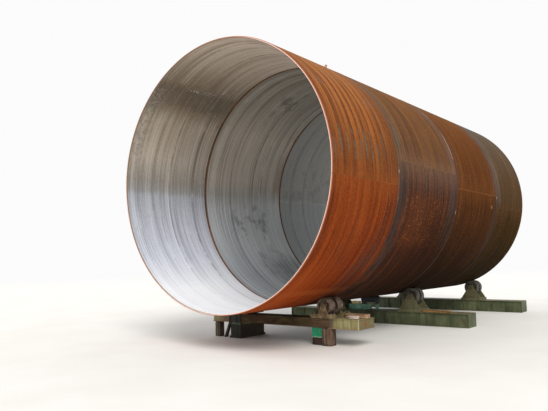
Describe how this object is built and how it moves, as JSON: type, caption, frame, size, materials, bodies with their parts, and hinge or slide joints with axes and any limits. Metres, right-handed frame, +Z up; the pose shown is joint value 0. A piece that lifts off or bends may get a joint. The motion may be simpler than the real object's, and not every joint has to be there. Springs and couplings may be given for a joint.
{
  "type": "distillation column shell section on turning rolls",
  "caption": "Open-ended cylindrical shell section of a distillation column, lined inside, lying on roller stands that turn it about its axis for welding.",
  "frame": {"origin": "on the floor, under the middle of the shell", "axes": "+Z up, +Y along the shell from the near open end to the far open end, +X across the stands"},
  "size_m": [5.606, 11.4, 6.3457],
  "materials": {
    "rusted_plate_1": "vivid orange rust with streaks round the shell",
    "rusted_plate_2": "brown mill scale and rust",
    "rusted_plate_3": "smooth brown rust",
    "rusted_plate_4": "olive brown rust with grey streaks",
    "weld": "grey weld cap with rust at the toes",
    "lining": "dull stainless lining with rolling streaks",
    "wheel_steel": "dusty worn steel",
    "bearing_steel": "old paint under dust",
    "box_paint": "faded yellow green paint with rust",
    "roll_paint": "dull dark green paint",
    "bright_green_paint": "bright green paint",
    "old_timber": "weathered brown timber",
    "pale_timber": "pale boards"
  },
  "bodies": {
    "stands": {"near_right_bearings": "bearing_steel", "near_left_bearings": "bearing_steel", "near_cross_beam": "old_timber", "near_right_box": "box_paint", "near_left_box": "box_paint", "near_right_boards": "pale_timber", "near_right_timber": "old_timber", "near_right_block": "bright_green_paint", "near_right_block_base": "old_timber", "near_left_stack": "roll_paint", "near_left_post": "old_timber", "near_left_wedge": "old_timber", "mid_right_bracket": "roll_paint", "mid_left_bracket": "roll_paint", "mid_base_frame": "roll_paint", "mid_right_plank": "pale_timber", "mid_drive": "bright_green_paint", "far_right_bracket": "roll_paint", "far_left_bracket": "roll_paint", "far_base_frame": "roll_paint"},
    "shell": {"course_1_upper_plate": "rusted_plate_1", "course_1_lower_plate": "rusted_plate_1", "course_1_seams": "weld", "course_1_lining": "lining", "course_2_upper_plate": "rusted_plate_2", "course_2_lower_plate": "rusted_plate_2", "course_2_seams": "weld", "course_2_lining": "lining", "course_3_upper_plate": "rusted_plate_3", "course_3_lower_plate": "rusted_plate_3", "course_3_seams": "weld", "course_3_lining": "lining", "course_4_upper_plate": "rusted_plate_4", "course_4_lower_plate": "rusted_plate_4", "course_4_seams": "weld", "course_4_lining": "lining", "girth_weld_1": "weld", "girth_weld_2": "weld", "girth_weld_3": "weld"},
    "near_right_roller": {"near_right_wheels": "wheel_steel"},
    "near_left_roller": {"near_left_wheels": "wheel_steel"},
    "mid_right_roller": {"mid_right_wheels": "wheel_steel"},
    "mid_left_roller": {"mid_left_wheels": "wheel_steel"},
    "far_right_roller": {"far_right_wheels": "wheel_steel"},
    "far_left_roller": {"far_left_wheels": "wheel_steel"}
  },
  "joints": [
    {"name": "shell_turn", "type": "hinge", "parent": "stands", "child": "shell", "pos_m": [0, 0, 3.54266], "axis": [0, 1, 0], "continuous": true},
    {"name": "near_right_roller_turn", "type": "hinge", "parent": "stands", "child": "near_right_roller", "pos_m": [1.2, -3.42, 0.81462], "axis": [0, 1, 0], "continuous": true},
    {"name": "near_left_roller_turn", "type": "hinge", "parent": "stands", "child": "near_left_roller", "pos_m": [-1.2, -3.42, 0.81462], "axis": [0, 1, 0], "continuous": true},
    {"name": "mid_right_roller_turn", "type": "hinge", "parent": "stands", "child": "mid_right_roller", "pos_m": [1.16, 0.82, 0.754], "axis": [0, 1, 0], "continuous": true},
    {"name": "mid_left_roller_turn", "type": "hinge", "parent": "stands", "child": "mid_left_roller", "pos_m": [-1.16, 0.82, 0.754], "axis": [0, 1, 0], "continuous": true},
    {"name": "far_right_roller_turn", "type": "hinge", "parent": "stands", "child": "far_right_roller", "pos_m": [1.16, 5.42, 0.754], "axis": [0, 1, 0], "continuous": true},
    {"name": "far_left_roller_turn", "type": "hinge", "parent": "stands", "child": "far_left_roller", "pos_m": [-1.16, 5.42, 0.754], "axis": [0, 1, 0], "continuous": true}
  ],
  "couplings": [
    {"joint": "near_right_roller_turn", "follows": "shell_turn", "ratio": -15.556},
    {"joint": "near_left_roller_turn", "follows": "shell_turn", "ratio": -15.556},
    {"joint": "mid_right_roller_turn", "follows": "shell_turn", "ratio": -12.727},
    {"joint": "mid_left_roller_turn", "follows": "shell_turn", "ratio": -12.727},
    {"joint": "far_right_roller_turn", "follows": "shell_turn", "ratio": -12.727},
    {"joint": "far_left_roller_turn", "follows": "shell_turn", "ratio": -12.727}
  ]
}
